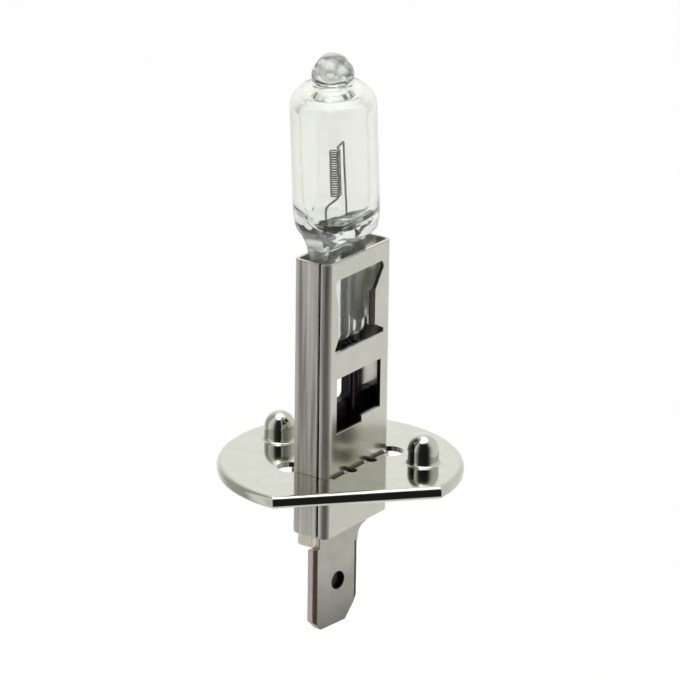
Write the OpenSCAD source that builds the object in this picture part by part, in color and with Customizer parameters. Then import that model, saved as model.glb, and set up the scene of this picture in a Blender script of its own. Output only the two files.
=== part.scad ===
// Single-filament halogen headlight bulb on a keyed disc cap.
// Origin: centre of the cap disc on its upper face. +Z runs to the glass tip,
// and the flat edge of the disc faces -Y. Millimetres.

/* [Cap disc] */
// Outer radius of the disc
disc_r = 11.7; // [11.4:0.05:12.5]
// Distance from the axis to the flat edge
disc_flat = 8.55; // [8.3:0.05:9.2]
// Full height of the turned-down rim
rim_h = 1.2; // [1.2:0.05:1.6]
// Outside bend radius at the top of the rim
rim_r = 0.55; // [0.55:0.05:0.8]
// Radius that the rim's lower edge is burnished to
rim_foot_r = 0.4; // [0.1:0.05:0.4]
// Thickness of the disc sheet
disc_t = 0.5; // [0.45:0.05:0.5]

/* [Locating bosses] */
// Radius of a boss
boss_r = 1.5; // [1.3:0.05:1.7]
// Height of a boss above the disc
boss_h = 2.8; // [2.4:0.05:3.2]
// Radius of the circle that the bosses stand on
boss_pitch_r = 7.8; // [7.6:0.05:8.2]
// Angle of the rear boss from +X
boss_angle_rear = 127; // [120:1:130]
// Angle of the front boss from +X
boss_angle_front = -14; // [-16:1:-10]

/* [Holder sleeve] */
// Turn of the sleeve about the axis, from the flat of the disc
holder_angle = 44; // [38:1:50]
// Outside width of the sleeve
sleeve_w = 10.3; // [10.1:0.05:10.6]
// Outside depth of the sleeve
sleeve_n = 4.1; // [4:0.05:4.3]
// Thickness of the sleeve sheet
sleeve_t = 0.4; // [0.3:0.05:0.45]
// Outside corner radius of the sleeve
sleeve_r = 0.75; // [0.6:0.05:0.9]
// Height of the sleeve above the disc
sleeve_top = 21.1; // [20.6:0.1:21.4]
// Length of the sleeve below the disc
sleeve_drop = 6.15; // [5.8:0.05:6.4]
// Width of the open seam
seam_w = 0.2; // [0.15:0.05:0.6]

/* [Burner] */
// Outside diameter of the glass bulb
bulb_d = 8.05; // [7.8:0.05:8.2]
// Wall thickness of the glass bulb
bulb_wall = 0.85; // [0.7:0.05:1]
// Lean of the bulb and its filament towards -X, in degrees
burner_lean = 2.4; // [0:0.1:2.5]
// Height of the filament's near end above the disc
filament_z = 26.4; // [26.2:0.05:26.6]
// Length of the filament coil
filament_len = 4.5; // [4:0.1:5]
// Outside diameter of the filament coil
filament_d = 1.1; // [0.9:0.05:1.3]
// Turns of the filament coil
filament_turns = 20; // [16:1:22]

/* [Terminal] */
// Width of the blade
blade_w = 6.4; // [6.2:0.05:6.4]
// Thickness of the blade
blade_t = 0.84; // [0.78:0.02:0.84]
// Depth of the blade's tip below the disc
blade_drop = 16.6; // [16:0.1:17.5]
// Diameter of the blade's latch hole
blade_hole_d = 1.8; // [1.6:0.05:1.9]
// Depth of the latch hole, which stops short of the blade's back
blade_hole_depth = 0.55; // [0.4:0.05:0.6]
// Twist of the blade about the axis, from the sleeve's faces
blade_twist = -5; // [-6:0.5:0]

/* [Hidden] */
$fn = 48;
gap = 0.03;
ball_ratio = 1.06;

// Cap disc: each long edge of its opening has three tabs, with round reliefs between them.
tab_pitch = 3.27;
tab_w = 2.4;
tab_drop = 2.0;
tab_t = 0.4;
tab_bend = 0.4;
relief_r = 0.5;
corner_relief_r = 1.25;
corner_relief_u = 4.5;
corner_relief_v = 2.6;
fillet_r = 0.35;

// Holder sleeve: two windows go through both wide walls. The upper one leaves a stem
// between two lips, which are bent in on the glass, the left one further than the right.
inner_w = sleeve_w - 2 * sleeve_t;
inner_n = sleeve_n - 2 * sleeve_t;
seam_v = -1;
window_u = -0.1;
upper_half = 3.85;
upper_z = [12.2, 19.3];
shoulder_drop = 0.5;
stem_u = [-3.5, 2.4];
stem_z = [13.35, 16.8];
lip_len = [0.62, 0.65];
lip_bend = [50, 28];
foot_h = 0.4;
lower_half = 3.5;
lower_z = [4.15, 9.55];
lower_step_u = 0.38;
lower_step_h = 0.65;

// Burner: positions are from its own axis, which stands off the sleeve's axis.
burner_u = -0.7;
burner_v = 0.2;
pinch_w = 7.8;
pinch_z = [12.3, 23.2];
web_t = 1.3;
edge_rib_r = 0.95;
mid_rib_r = 0.72;
mid_rib_u = 0.55;
mid_rib_v = -0.32;
mid_rib_drop = 0.3;
seal_z = 22.6;
bulb_base_z = 21.4;
bulb_base_r = 1.2;
bulb_waist_z = 23;
bulb_waist_r = 3.55;
bulb_low_z = 25.4;
shoulder_z = 35.2;
neck_z = 37.4;
neck_r = 2.05;
tip_z = 40.1;
tip_overlap = 0.55;
cavity_low_z = 23.6;
cavity_low_r = 1.75;
cavity_top_z = 35.9;
dome_r = 1.2;

// Filament, leads and sealing foils
lead_u = 1.65;
lead_d = 0.24;
lead_bend_z = 26.05;
lead_bend = 0.4;
lead_tip_in = 0.2;
long_lead_peak_z = 31.3;
coil_wire_d = 0.14;
coil_join_r = 0.5;
helix_steps = 12;
foil_w = 1.7;
foil_t = 0.08;
foil_z = [14.4, 20.8];
lead_lap = 1.2;
lap_sink = 0.03;
lead_lap_v = foil_t / 2 + lead_d / 2 - lap_sink;

// Outer leads
pin_d = 0.5;
pin_lap_v = foil_t / 2 + pin_d / 2 - lap_sink;
pin_out_z = 12.1;
jog_z = 11.2;
live_pin_u = burner_u + lead_u;
live_pin_end = 0.2;
earth_bend_z = 11.0;
earth_end_z = 8.6;

// Ceramic and yoke inside the sleeve
yoke_t = 1.0;
yoke_v = 0.3;
yoke_base_z = [1.65, 6.0];
yoke_post_u = 1.78;
yoke_post_w = 1.45;
yoke_post_top = 11.2;
yoke_fillet = 0.5;
ceramic_z = [-7.5, 1.6];
ceramic_notch_half = 3.9;
foot_front_v = -0.15;
foot_clear = -6.1;

// Terminal
blade_u = -0.7;
blade_v = 0.25;
root_z = -8.2;
root_step = 0.7;
root_flat = 1.2;
tang_half = 2.2;
tang_t = 0.7;
tang_top = 0.6;
flare_r = 1.2;
tip_chamfer = [1.75, 2.0];
tip_corner = 1.1;
bevel_across = 0.5;
bevel_deep = 0.14;
hole_u = 0.3;
hole_z = -12.2;
live_pin_v = blade_v - blade_t / 2 - pin_d / 2 - 0.1;

// Turns the children with the holder sleeve: X along its width, Y to its rear wall.
module in_holder() {
    rotate([0, 0, holder_angle])
        children();
}

// Puts the children on the burner's axis, upright as the pinch stands.
module on_pinch() {
    in_holder()
        translate([burner_u, burner_v, 0])
            children();
}

// Leans the children with the glass bulb about the seal.
module leaning() {
    in_holder()
        translate([burner_u, burner_v, seal_z])
            rotate([0, 0, -holder_angle])
                rotate([0, -burner_lean, 0])
                    rotate([0, 0, holder_angle])
                        translate([0, 0, -seal_z])
                            children();
}

// Rectangle with round corners
module round_rect(w, n, r) {
    square([w - 2 * r, n], center = true);
    square([w, n - 2 * r], center = true);
    for (sx = [-1, 1], sy = [-1, 1])
        translate([sx * (w / 2 - r), sy * (n / 2 - r)])
            circle(r);
}

// Upright plate, drawn as width against height and centred on its thickness
module upright(t) {
    rotate([90, 0, 0])
        linear_extrude(t, center = true)
            children();
}

// Straight wire between two points, with a slightly swollen ball at each end
module wire(a, b, d) {
    run = b - a;
    len = norm(run);
    translate(a)
        rotate([0, acos(run[2] / len), atan2(run[1], run[0])])
            cylinder(d = d, h = len, $fn = 24);
    for (p = [a, b])
        translate(p)
            sphere(d = ball_ratio * d, $fn = 24);
}

// Half section of the disc's edge, out to x = reach: round at the top, and at the foot
// where foot is over 0
module edge_section(reach, length, top, edge, low, foot) {
    translate([reach - length, low])
        square([length - edge, top - low]);
    translate([reach - length, low + foot])
        square([length, top - edge - low - foot]);
    translate([reach - edge, top - edge])
        circle(edge);
    if (foot > 0)
        translate([reach - foot, low + foot])
            circle(foot);
}

// D-shaped disc, used for both faces of the pressed sheet
module disc_solid(shrink, top, low, foot) {
    edge = rim_r - shrink;
    round_r = disc_r - shrink;
    intersection() {
        rotate_extrude($fn = 180)
            edge_section(round_r, round_r, top, edge, low, foot);
        rotate([90, 0, -90])
            linear_extrude(4 * disc_r, center = true)
                edge_section(disc_flat - shrink, 3 * disc_r, top, edge, low, foot);
    }
}

// Domed boss with a flared root
module boss() {
    cylinder(r = boss_r, h = boss_h - boss_r);
    translate([0, 0, boss_h - boss_r])
        sphere(boss_r);
    rotate_extrude()
        difference() {
            square([boss_r + fillet_r, fillet_r]);
            translate([boss_r + fillet_r, fillet_r])
                circle(fillet_r);
        }
    translate([0, 0, -disc_t])
        cylinder(r = boss_r + fillet_r, h = disc_t);
}

// Hollow that the punch leaves in the back of a boss
module boss_hollow() {
    hollow_r = boss_r - disc_t;
    translate([0, 0, -rim_h])
        cylinder(r = hollow_r, h = rim_h + boss_h - boss_r);
    translate([0, 0, boss_h - boss_r])
        sphere(hollow_r);
}

module at_bosses() {
    for (a = [boss_angle_rear, boss_angle_front])
        rotate([0, 0, a])
            translate([boss_pitch_r, 0, 0])
                children();
}

// Tab that turns down beside the sleeve, with a rounded bend at the disc's face
module tab() {
    rotate([90, 0, 90])
        linear_extrude(tab_w, center = true)
            union() {
                translate([0, -tab_drop])
                    square([tab_t, tab_drop - tab_bend]);
                translate([tab_bend, -tab_bend])
                    intersection() {
                        circle(tab_bend);
                        translate([-tab_bend, 0])
                            square([tab_bend, tab_bend]);
                    }
                translate([0, -disc_t])
                    square([tab_bend, disc_t - tab_bend]);
            }
}

module flange_disc() {
    color([0.80, 0.81, 0.77])
        union() {
            difference() {
                union() {
                    difference() {
                        disc_solid(0, 0, -rim_h, rim_foot_r);
                        disc_solid(disc_t, -disc_t, -2 * rim_h, 0);
                    }
                    at_bosses()
                        boss();
                }
                at_bosses()
                    boss_hollow();
                in_holder()
                    translate([0, 0, -1.5 * rim_h])
                        linear_extrude(2 * rim_h)
                            disc_opening();
            }
            in_holder()
                for (side = [0, 180], i = [-1, 0, 1])
                    rotate([0, 0, side])
                        translate([i * tab_pitch, -sleeve_n / 2 - gap, 0])
                            mirror([0, 1, 0])
                                tab();
        }
}

// Opening for the sleeve, with the strips that the tabs turn down from and the reliefs
module disc_opening() {
    round_rect(sleeve_w + 2 * gap, sleeve_n + 2 * gap, sleeve_r);
    for (side = [0, 180])
        rotate([0, 0, side]) {
            translate([0, -sleeve_n / 2 - tab_bend / 2])
                square([2 * tab_pitch + tab_w + 2 * gap, tab_bend + 2 * gap], center = true);
            for (i = [-0.5, 0.5])
                translate([i * tab_pitch, -sleeve_n / 2 - tab_bend])
                    circle(relief_r);
            translate([corner_relief_u, -corner_relief_v])
                circle(corner_relief_r);
        }
}

// Upper window: a bowl with sloping shoulders, a stem, and a spread foot
module upper_window() {
    left = window_u - upper_half;
    right = window_u + upper_half;
    top = upper_z[1];
    low = upper_z[0];
    polygon([
        [left, low], [right, low], [right, low + foot_h], [stem_u[1], stem_z[0]],
        [stem_u[1], stem_z[1]], [right, top - shoulder_drop], [right - shoulder_drop / 2, top],
        [left + shoulder_drop / 2, top], [left, top - shoulder_drop], [stem_u[0], stem_z[1]],
        [stem_u[0], stem_z[0]], [left, low + foot_h]
    ]);
}

// Lower window, whose sill steps up on one side
module lower_window() {
    left = window_u - lower_half;
    right = window_u + lower_half;
    polygon([
        [left, lower_z[0]], [lower_step_u, lower_z[0]],
        [lower_step_u, lower_z[0] + lower_step_h], [right, lower_z[0] + lower_step_h],
        [right, lower_z[1]], [left, lower_z[1]]
    ]);
}

// Lip beside the stem of the upper window, bent in from its crease: 0 is the left one
module lip(end) {
    translate([stem_u[end], -sleeve_n / 2, stem_z[0]])
        mirror([1 - end, 0, 0])
            rotate([0, 0, -lip_bend[end]])
                translate([-lip_len[end], 0, 0])
                    cube([lip_len[end], sleeve_t, stem_z[1] - stem_z[0]]);
}

module holder_sleeve() {
    color([0.74, 0.74, 0.69])
        in_holder()
            union() {
                difference() {
                    translate([0, 0, -sleeve_drop])
                        linear_extrude(sleeve_top + sleeve_drop)
                            difference() {
                                round_rect(sleeve_w, sleeve_n, sleeve_r);
                                round_rect(inner_w, inner_n, sleeve_r - sleeve_t);
                                translate([-sleeve_w / 2, seam_v])
                                    square([4 * sleeve_t, seam_w], center = true);
                            }
                    upright(2 * sleeve_n)
                        upper_window();
                    upright(2 * sleeve_n)
                        lower_window();
                }
                for (wall = [0, 1], end = [0, 1])
                    mirror([0, wall, 0])
                        lip(end);
            }
}

// Ceramic block that fills the foot of the sleeve and holds the terminal. Below the
// sleeve only its two ends stand out, behind the line of the blade's face.
module ceramic_insulator() {
    color([0.88, 0.86, 0.78])
        in_holder()
            difference() {
                translate([0, 0, ceramic_z[0]])
                    linear_extrude(ceramic_z[1] - ceramic_z[0])
                        round_rect(inner_w - 2 * gap, inner_n - 2 * gap, sleeve_r - sleeve_t);
                translate([-ceramic_notch_half, -inner_n, ceramic_z[0] - 1])
                    cube([2 * ceramic_notch_half, 2 * inner_n, 1 + foot_clear - ceramic_z[0]]);
                translate([-inner_w, foot_front_v - inner_n, ceramic_z[0] - 1])
                    cube([2 * inner_w, inner_n, 1 + foot_clear - ceramic_z[0]]);
                at_blade()
                    upright(tang_t + 2 * gap)
                        tang_outline(gap);
                translate([live_pin_u, live_pin_v, live_pin_end])
                    cylinder(d = pin_d + gap, h = ceramic_z[1]);
            }
}

// Black inverted T that stands on the ceramic and carries the live wire
module insulating_yoke() {
    base_w = inner_w - 4 * gap;
    color([0.06, 0.05, 0.06])
        in_holder()
            translate([0, yoke_v, 0])
                upright(yoke_t) {
                    translate([-base_w / 2, yoke_base_z[0]])
                        square([base_w, yoke_base_z[1] - yoke_base_z[0]]);
                    translate([yoke_post_u - yoke_post_w / 2, yoke_base_z[0]])
                        square([yoke_post_w, yoke_post_top - yoke_base_z[0]]);
                    for (end = [0, 1])
                        translate([yoke_post_u, yoke_base_z[1]])
                            mirror([end, 0])
                                translate([yoke_post_w / 2, 0])
                                    difference() {
                                        square(yoke_fillet);
                                        translate([yoke_fillet, yoke_fillet])
                                            circle(yoke_fillet);
                                    }
                }
}

// Places the children at the blade, drawn upright about its centre line
module at_blade() {
    translate([blade_u, blade_v, 0])
        rotate([0, 0, blade_twist])
            children();
}

// Outline of the thinner tang inside the ceramic, grown by a clearance
module tang_outline(grow) {
    translate([-tang_half - grow, -sleeve_drop - 1])
        square([2 * (tang_half + grow), sleeve_drop + 1 + tang_top + grow]);
}

// Outline of the blade, with a long and a short chamfer at its tip
module blade_outline() {
    half = blade_w / 2;
    polygon([
        [-half, root_z], [half, root_z],
        [half, tip_chamfer[1] - blade_drop], [half - tip_chamfer[0], -blade_drop],
        [tip_corner - half, -blade_drop], [-half, tip_corner - blade_drop]
    ]);
}

// Outline of the root: stepped in on one side, with a concave flare on the other
module root_outline() {
    half = blade_w / 2;
    top = -sleeve_drop - gap;
    low = root_z - root_step;
    flare_z = top - root_flat - flare_r;
    translate([root_step - half, low])
        square([blade_w - root_step, top - low]);
    difference() {
        translate([0, flare_z])
            square([half + flare_r, root_flat + flare_r]);
        translate([half + flare_r, flare_z])
            circle(flare_r);
    }
}

// Section of the blade, with its two front edges bevelled
module blade_section() {
    half = blade_w / 2;
    side = blade_t / 2;
    polygon([
        [-half, bevel_deep - side], [bevel_across - half, -side], [half - bevel_across, -side],
        [half, bevel_deep - side], [half, side], [-half, side]
    ]);
}

module terminal_blade() {
    color([0.70, 0.70, 0.64])
        in_holder()
            at_blade()
                difference() {
                    union() {
                        intersection() {
                            upright(2 * blade_t)
                                blade_outline();
                            translate([0, 0, -blade_drop - 1])
                                linear_extrude(blade_drop)
                                    blade_section();
                        }
                        upright(blade_t)
                            root_outline();
                        upright(tang_t)
                            tang_outline(0);
                    }
                    translate([hole_u, -blade_t / 2 - 1, hole_z])
                        rotate([-90, 0, 0])
                            cylinder(d = blade_hole_d, h = 1 + blade_hole_depth);
                }
}

// Outer profile of the glass bulb: tapered base, barrel, round shoulder, neck and tip
module bulb_profile() {
    r = bulb_d / 2;
    shoulder = neck_z - shoulder_z;
    tip_r = (tip_z - neck_z) / 2 + tip_overlap;
    intersection() {
        union() {
            polygon([
                [0, bulb_base_z], [bulb_base_r, bulb_base_z], [bulb_waist_r, bulb_waist_z],
                [r, bulb_low_z], [r, shoulder_z], [0, shoulder_z]
            ]);
            translate([0, shoulder_z])
                square([r - shoulder, shoulder]);
            translate([r - shoulder, shoulder_z])
                circle(shoulder);
            translate([0, shoulder_z])
                square([neck_r, neck_z + tip_overlap - shoulder_z]);
            translate([0, tip_z - tip_r])
                circle(tip_r);
        }
        translate([0, bulb_base_z])
            square([bulb_d, tip_z - bulb_base_z + 1]);
    }
}

// Profile of the gas space inside the bulb
module cavity_profile() {
    r = bulb_d / 2 - bulb_wall;
    polygon([
        [0, cavity_low_z], [cavity_low_r, cavity_low_z], [r, bulb_low_z + bulb_wall],
        [r, cavity_top_z - dome_r], [0, cavity_top_z - dome_r]
    ]);
    translate([0, cavity_top_z - dome_r])
        square([r - dome_r, dome_r]);
    intersection() {
        translate([r - dome_r, cavity_top_z - dome_r])
            circle(dome_r);
        translate([0, cavity_top_z - dome_r])
            square([r, dome_r]);
    }
}

// Upright round rib with a ball end at its foot
module rib(u, v, r, foot) {
    translate([u, v, foot + r])
        cylinder(r = r, h = pinch_z[1] - foot - r);
    translate([u, v, foot + r])
        sphere(r);
}

// Press seal: a flat web between two edge ribs, with a smaller rib on its front
module pinch() {
    web_half = pinch_w / 2 - edge_rib_r;
    translate([-web_half, -web_t / 2, pinch_z[0]])
        cube([2 * web_half, web_t, pinch_z[1] - pinch_z[0]]);
    for (side = [-1, 1])
        rib(side * web_half, 0, edge_rib_r, pinch_z[0]);
    rib(mid_rib_u, mid_rib_v, mid_rib_r, pinch_z[0] - mid_rib_drop);
}

module glass_envelope() {
    color([0.88, 0.91, 0.87, 0.35])
        difference() {
            union() {
                leaning()
                    rotate_extrude($fn = 96)
                        bulb_profile();
                on_pinch()
                    pinch();
            }
            leaning()
                rotate_extrude($fn = 96)
                    cavity_profile();
            for (side = [-1, 1]) {
                foil_solid(side);
                pin_root(side);
                on_pinch()
                    translate([side * lead_u, lead_lap_v, foil_z[1] - lead_lap])
                        cylinder(d = lead_d, h = seal_z - foil_z[1] + lead_lap);
                leaning()
                    translate([side * lead_u, 0, seal_z - lead_d])
                        cylinder(d = ball_ratio * lead_d, h = cavity_low_z + 1 - seal_z);
            }
        }
}

// Helix of round wire as one closed tube
module helix(r, wire_r, z0, length, turns) {
    rings = turns * helix_steps;
    sides = 6;
    points = [
        for (i = [0:rings], j = [0:sides - 1])
            let (turn = 360 * i / helix_steps, a = 360 * j / sides, reach = r + wire_r * cos(a))
            [reach * cos(turn), reach * sin(turn), z0 + length * i / rings + wire_r * sin(a)]
    ];
    walls = [
        for (i = [0:rings - 1], j = [0:sides - 1], half = [0, 1])
            let (a = i * sides + j, b = i * sides + (j + 1) % sides)
            half == 0 ? [a, b, b + sides] : [a, b + sides, a + sides]
    ];
    ends = [
        [for (j = [0:sides - 1]) sides - 1 - j],
        [for (j = [0:sides - 1]) rings * sides + j]
    ];
    polyhedron(points, concat(walls, ends));
}

module filament_coil() {
    color([0.28, 0.28, 0.27])
        leaning()
            helix((filament_d - coil_wire_d) / 2, coil_wire_d / 2, filament_z, filament_len,
                filament_turns);
}

// Upright end of a lead, lapped on its foil inside the press seal
module lead_root(side) {
    on_pinch()
        wire([side * lead_u, lead_lap_v, foil_z[1] - lead_lap], [side * lead_u, lead_lap_v, seal_z],
            lead_d);
}

// Lead to the near end of the filament
module short_lead() {
    color([0.36, 0.35, 0.34])
        union() {
            lead_root(-1);
            leaning() {
                wire([-lead_u, 0, seal_z], [-lead_u, 0, lead_bend_z - lead_bend], lead_d);
                wire([-lead_u, 0, lead_bend_z - lead_bend], [lead_bend - lead_u, 0, lead_bend_z],
                    lead_d);
                wire([lead_bend - lead_u, 0, lead_bend_z], [coil_join_r, 0, filament_z - coil_wire_d],
                    lead_d);
            }
        }
}

// Lead that passes the filament and turns back to its far end
module long_lead() {
    far_z = filament_z + filament_len + coil_wire_d;
    color([0.36, 0.35, 0.34])
        union() {
            lead_root(1);
            leaning() {
                wire([lead_u, 0, seal_z], [lead_u - lead_tip_in, 0, long_lead_peak_z], lead_d);
                wire([lead_u - lead_tip_in, 0, long_lead_peak_z], [coil_join_r, 0, far_z], lead_d);
            }
        }
}

// Thin sealing foil inside the press seal
module foil_solid(side) {
    on_pinch()
        translate([side * lead_u, 0, 0])
            upright(foil_t)
                translate([-foil_w / 2, foil_z[0]])
                    square([foil_w, foil_z[1] - foil_z[0]]);
}

module foil_live() {
    color([0.45, 0.45, 0.44])
        foil_solid(1);
}

module foil_earth() {
    color([0.45, 0.45, 0.44])
        foil_solid(-1);
}

// Upper end of an outer lead, lapped on the lower end of its foil
module pin_root(side) {
    on_pinch()
        translate([side * lead_u, pin_lap_v, pin_out_z])
            cylinder(d = pin_d, h = foil_z[0] + lead_lap - pin_out_z);
}

// Outer lead that runs down the front of the yoke to the terminal
module outer_lead_live() {
    color([0.50, 0.49, 0.48])
        union() {
            pin_root(1);
            in_holder() {
                wire([live_pin_u, burner_v + pin_lap_v, pin_out_z], [live_pin_u, live_pin_v, jog_z],
                    pin_d);
                wire([live_pin_u, live_pin_v, jog_z], [live_pin_u, live_pin_v, live_pin_end + pin_d / 2],
                    pin_d);
            }
        }
}

// Outer lead that turns out to the end wall of the sleeve
module outer_lead_earth() {
    out_u = pin_d / 2 + gap - inner_w / 2;
    in_u = burner_u - lead_u;
    v = burner_v + pin_lap_v;
    color([0.50, 0.49, 0.48])
        union() {
            pin_root(-1);
            in_holder() {
                wire([in_u, v, pin_out_z], [out_u, v, earth_bend_z], pin_d);
                wire([out_u, v, earth_bend_z], [out_u, v, earth_end_z], pin_d);
            }
        }
}

flange_disc();
holder_sleeve();
ceramic_insulator();
insulating_yoke();
terminal_blade();
glass_envelope();
filament_coil();
short_lead();
long_lead();
foil_live();
foil_earth();
outer_lead_live();
outer_lead_earth();
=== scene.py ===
"""Looks for a single-filament halogen headlight bulb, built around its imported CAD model.

Shapes are worked out in millimetres and scaled to metres when a mesh is made. The holder
frame has u along the sleeve's width, v towards the sleeve's rear wall, and z up.
"""

import math

import bmesh
import bpy
import numpy as np
from mathutils import Matrix, Vector, noise


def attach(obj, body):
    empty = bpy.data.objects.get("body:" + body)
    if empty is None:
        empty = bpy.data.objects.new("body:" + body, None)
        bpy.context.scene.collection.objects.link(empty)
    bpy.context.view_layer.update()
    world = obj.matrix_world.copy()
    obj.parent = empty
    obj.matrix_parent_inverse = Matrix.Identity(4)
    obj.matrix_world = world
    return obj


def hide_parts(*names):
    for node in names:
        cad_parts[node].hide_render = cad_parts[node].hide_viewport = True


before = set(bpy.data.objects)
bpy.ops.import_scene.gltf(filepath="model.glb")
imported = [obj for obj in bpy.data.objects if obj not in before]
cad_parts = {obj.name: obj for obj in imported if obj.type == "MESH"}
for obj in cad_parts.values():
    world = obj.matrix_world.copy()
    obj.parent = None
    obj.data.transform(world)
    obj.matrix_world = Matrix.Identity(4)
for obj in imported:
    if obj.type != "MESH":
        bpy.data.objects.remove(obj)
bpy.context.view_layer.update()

MM = 0.001

# Camera: turned about the object's origin, then slid along its own axes (mm)
CAMERA_AZIMUTH = -11.08
CAMERA_ELEVATION = 20.41
CAMERA_ROLL = -0.74
CAMERA_DISTANCE = 447.0
CAMERA_SLIDE = (-0.04, 11.24)
CAMERA_LENS = 250.85

# Floor: far enough below for the object's shadow to fade out
FLOOR_Z = -0.25
FLOOR_HALF = 12.0

# Glass (mm)
BULB_WALL = 0.85
SHOULDER_R = 2.2
NECK_R = 1.95
NECK_Z = 37.35
TIP_OVERLAP = 0.55
TAPER_Z = (23.0, 25.4)
TAPER_R = 3.55
CAVITY_Z = (23.45, 35.95)
CAVITY_CORNER_R = 1.2
CAVITY_END = 0.97
CAVITY_END_POWER = 2.6
CAVITY_SQUEEZE = 0.55
CAVITY_FOLD = 0.5
SEAL_Z = (21.5, 23.6)
LEAN_PIVOT_Z = 22.6
RING_POINTS = 128
WEB_HALF = 0.65
EDGE_RIB_R = 0.95
FRONT_RIB_R = 0.72
FRONT_RIB_U = 0.55
FRONT_RIB_V = -0.32
BEAD_ANGLES = (20, 40, 58, 74, 85)

# Hollow under the exhaust tip, as radius and rise above the gas space's top (mm)
TIP_HOLLOW = ((0.05, 0.62), (0.4, 0.58), (1.0, 0.42), (1.6, 0.22), (2.1, 0.08), (2.45, 0))

# Folds pressed into the glass at the seal: slant, waves to the millimetre, heights (mm)
FOLD_SLANT = 0.22
FOLD_WAVES = (0.30, 0.9, 1.25)
FINE_WAVES = (0.8, 1.3, 2.4)
FOLD_HEIGHTS = (0.34, 0.08)
FOLD_LIMIT = 0.08
FOLD_Z = (21.0, 23.6)

# Lumps of the exhaust tip: waves to the millimetre, heights and limit (mm)
LUMP_WAVES = (0.62, 0.62, 0.5)
SMALL_LUMP_WAVES = (1.3, 1.3, 1.0)
LUMP_HEIGHTS = (0.34, 0.05)
LUMP_LIMIT = 0.10

# Tint that the glass takes on where it is seen edge-on: partly its green cast, partly painted shade
GLASS_EDGE_TINT_AND_SHADE = (0.52, 0.60, 0.52)

# Holder sleeve (mm): skin of sheet that counts as a face and not as a sheared edge, and
# how far in from the ends the narrow wall's streaks reach
SLEEVE_SHEET = 0.4
SLEEVE_CORNER_R = 0.75
SHEAR_MARGIN = 0.12
END_WALL_REACH = 0.8

# Slopes between a face and an axis, as cosines: of a face that is not level, of one that is
# not on a wide wall, and on the blade of a bevel and of a side
NOT_LEVEL = 0.6
OFF_WIDE_WALL = 0.97
BEVEL_SLOPES = (0.1, 0.8)
BEVEL_LEVEL = 0.2

# Disc tabs (mm): reach from the sleeve, half length of their row, largest face (mm2)
TAB_REACH = 0.42
TAB_ROW_HALF = 4.5
TAB_FACE_AREA = 6

# Terminal blade (mm): depth of a face that is not the blade's own, half width of the
# dimple's part, and heights above the tip of the dimple and of the bevels' upper end
BLADE_SKIN = 0.08
DIMPLE_HALF = 2.0
DIMPLE_RISE = (2.0, 6.5)
BEVEL_RISE = 8.6
# Height above the tip over which the blade's tone darkens towards the tip (mm)
TIP_DARKENING_RISE = 6.5

# Wires (mm)
COIL_WIRE_D = 0.125
COIL_TURNS = 20
COIL_STEPS = 24
WIRE_DOME_ANGLES = (0.5, 0.95, 1.3)
LEAD_D = 0.21
LEAD_JOIN = 0.5
LEAD_LAP = 0.09
LONG_LEAD_TIP_IN = 0.2
SHORT_LEAD_DROP = 0.28


# ---------------------------------------------------------------- reading the frame


def node_points(name):
    """Vertices of a CAD node, in millimetres."""
    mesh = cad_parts[name].data
    flat = np.empty(3 * len(mesh.vertices), np.float32)
    mesh.vertices.foreach_get("co", flat)
    return flat.reshape(-1, 3).astype(float) / MM


def holder_axes():
    """Unit vectors u and v of the holder frame, from the broad face of a sealing foil."""
    broad = max(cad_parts["foil_live"].data.polygons, key=lambda p: p.area)
    v = Vector((broad.normal.x, broad.normal.y, 0)).normalized()
    v = v if v.y > 0 else -v
    return Vector((v.y, -v.x, 0)), v


AXIS_U, AXIS_V = holder_axes()
AXIS_Z = Vector((0, 0, 1))


def in_row(u, v, z):
    """Row-frame point, in millimetres, of a point in the holder frame."""
    return AXIS_U * u + AXIS_V * v + AXIS_Z * z


def local_points(name):
    """Vertices of a CAD node in the holder frame, in millimetres."""
    points = node_points(name)
    return np.column_stack((points @ np.array(AXIS_U), points @ np.array(AXIS_V), points[:, 2]))


def local_box(name):
    """Low and high corners of a CAD node in the holder frame, in millimetres."""
    points = local_points(name)
    return points.min(0), points.max(0)


def slice_centre(points, low, high):
    """Middle of the box around the points between two heights."""
    part = points[(points[:, 2] >= low) & (points[:, 2] <= high)]
    return (part.min(0) + part.max(0)) / 2


def burner_frame():
    """Burner axis in the holder frame, its slope (du, dv per mm) and the foils' offset."""
    live_low, live_high = local_box("foil_live")
    earth_low, earth_high = local_box("foil_earth")
    live = (live_low + live_high) / 2
    earth = (earth_low + earth_high) / 2
    coil = local_points("filament_coil")
    low, high = coil[:, 2].min(), coil[:, 2].max()
    reach = 0.3 * (high - low)
    foot = slice_centre(coil, low, low + reach)
    head = slice_centre(coil, high - reach, high)
    slope = (head - foot)[:2] / (head - foot)[2]
    return (live + earth)[:2] / 2, slope, (live - earth)[0] / 2


BURNER, SLOPE, LEAD_U = burner_frame()
COIL_LOW, COIL_HIGH = (box[2] for box in local_box("filament_coil"))
BLADE_TIP_Z = local_box("terminal_blade")[0][2]
BULB_TOP = local_box("glass_envelope")[1][2]
PINCH_FOOT = local_box("glass_envelope")[0][2]
PINCH_HALF = local_box("glass_envelope")[1][0] - BURNER[0]


def lean(point):
    """Leans a point of the upright burner, given from its own axis, about the seal."""
    a, b, z = point
    rise = z - LEAN_PIVOT_Z
    ease = min(max((rise + 1) / 2, 0), 1)
    u = BURNER[0] + a + ease * SLOPE[0] * rise
    v = BURNER[1] + b + ease * SLOPE[1] * rise
    return in_row(u, v, z - ease * (SLOPE[0] * a + SLOPE[1] * b))


# ---------------------------------------------------------------- materials


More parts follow.
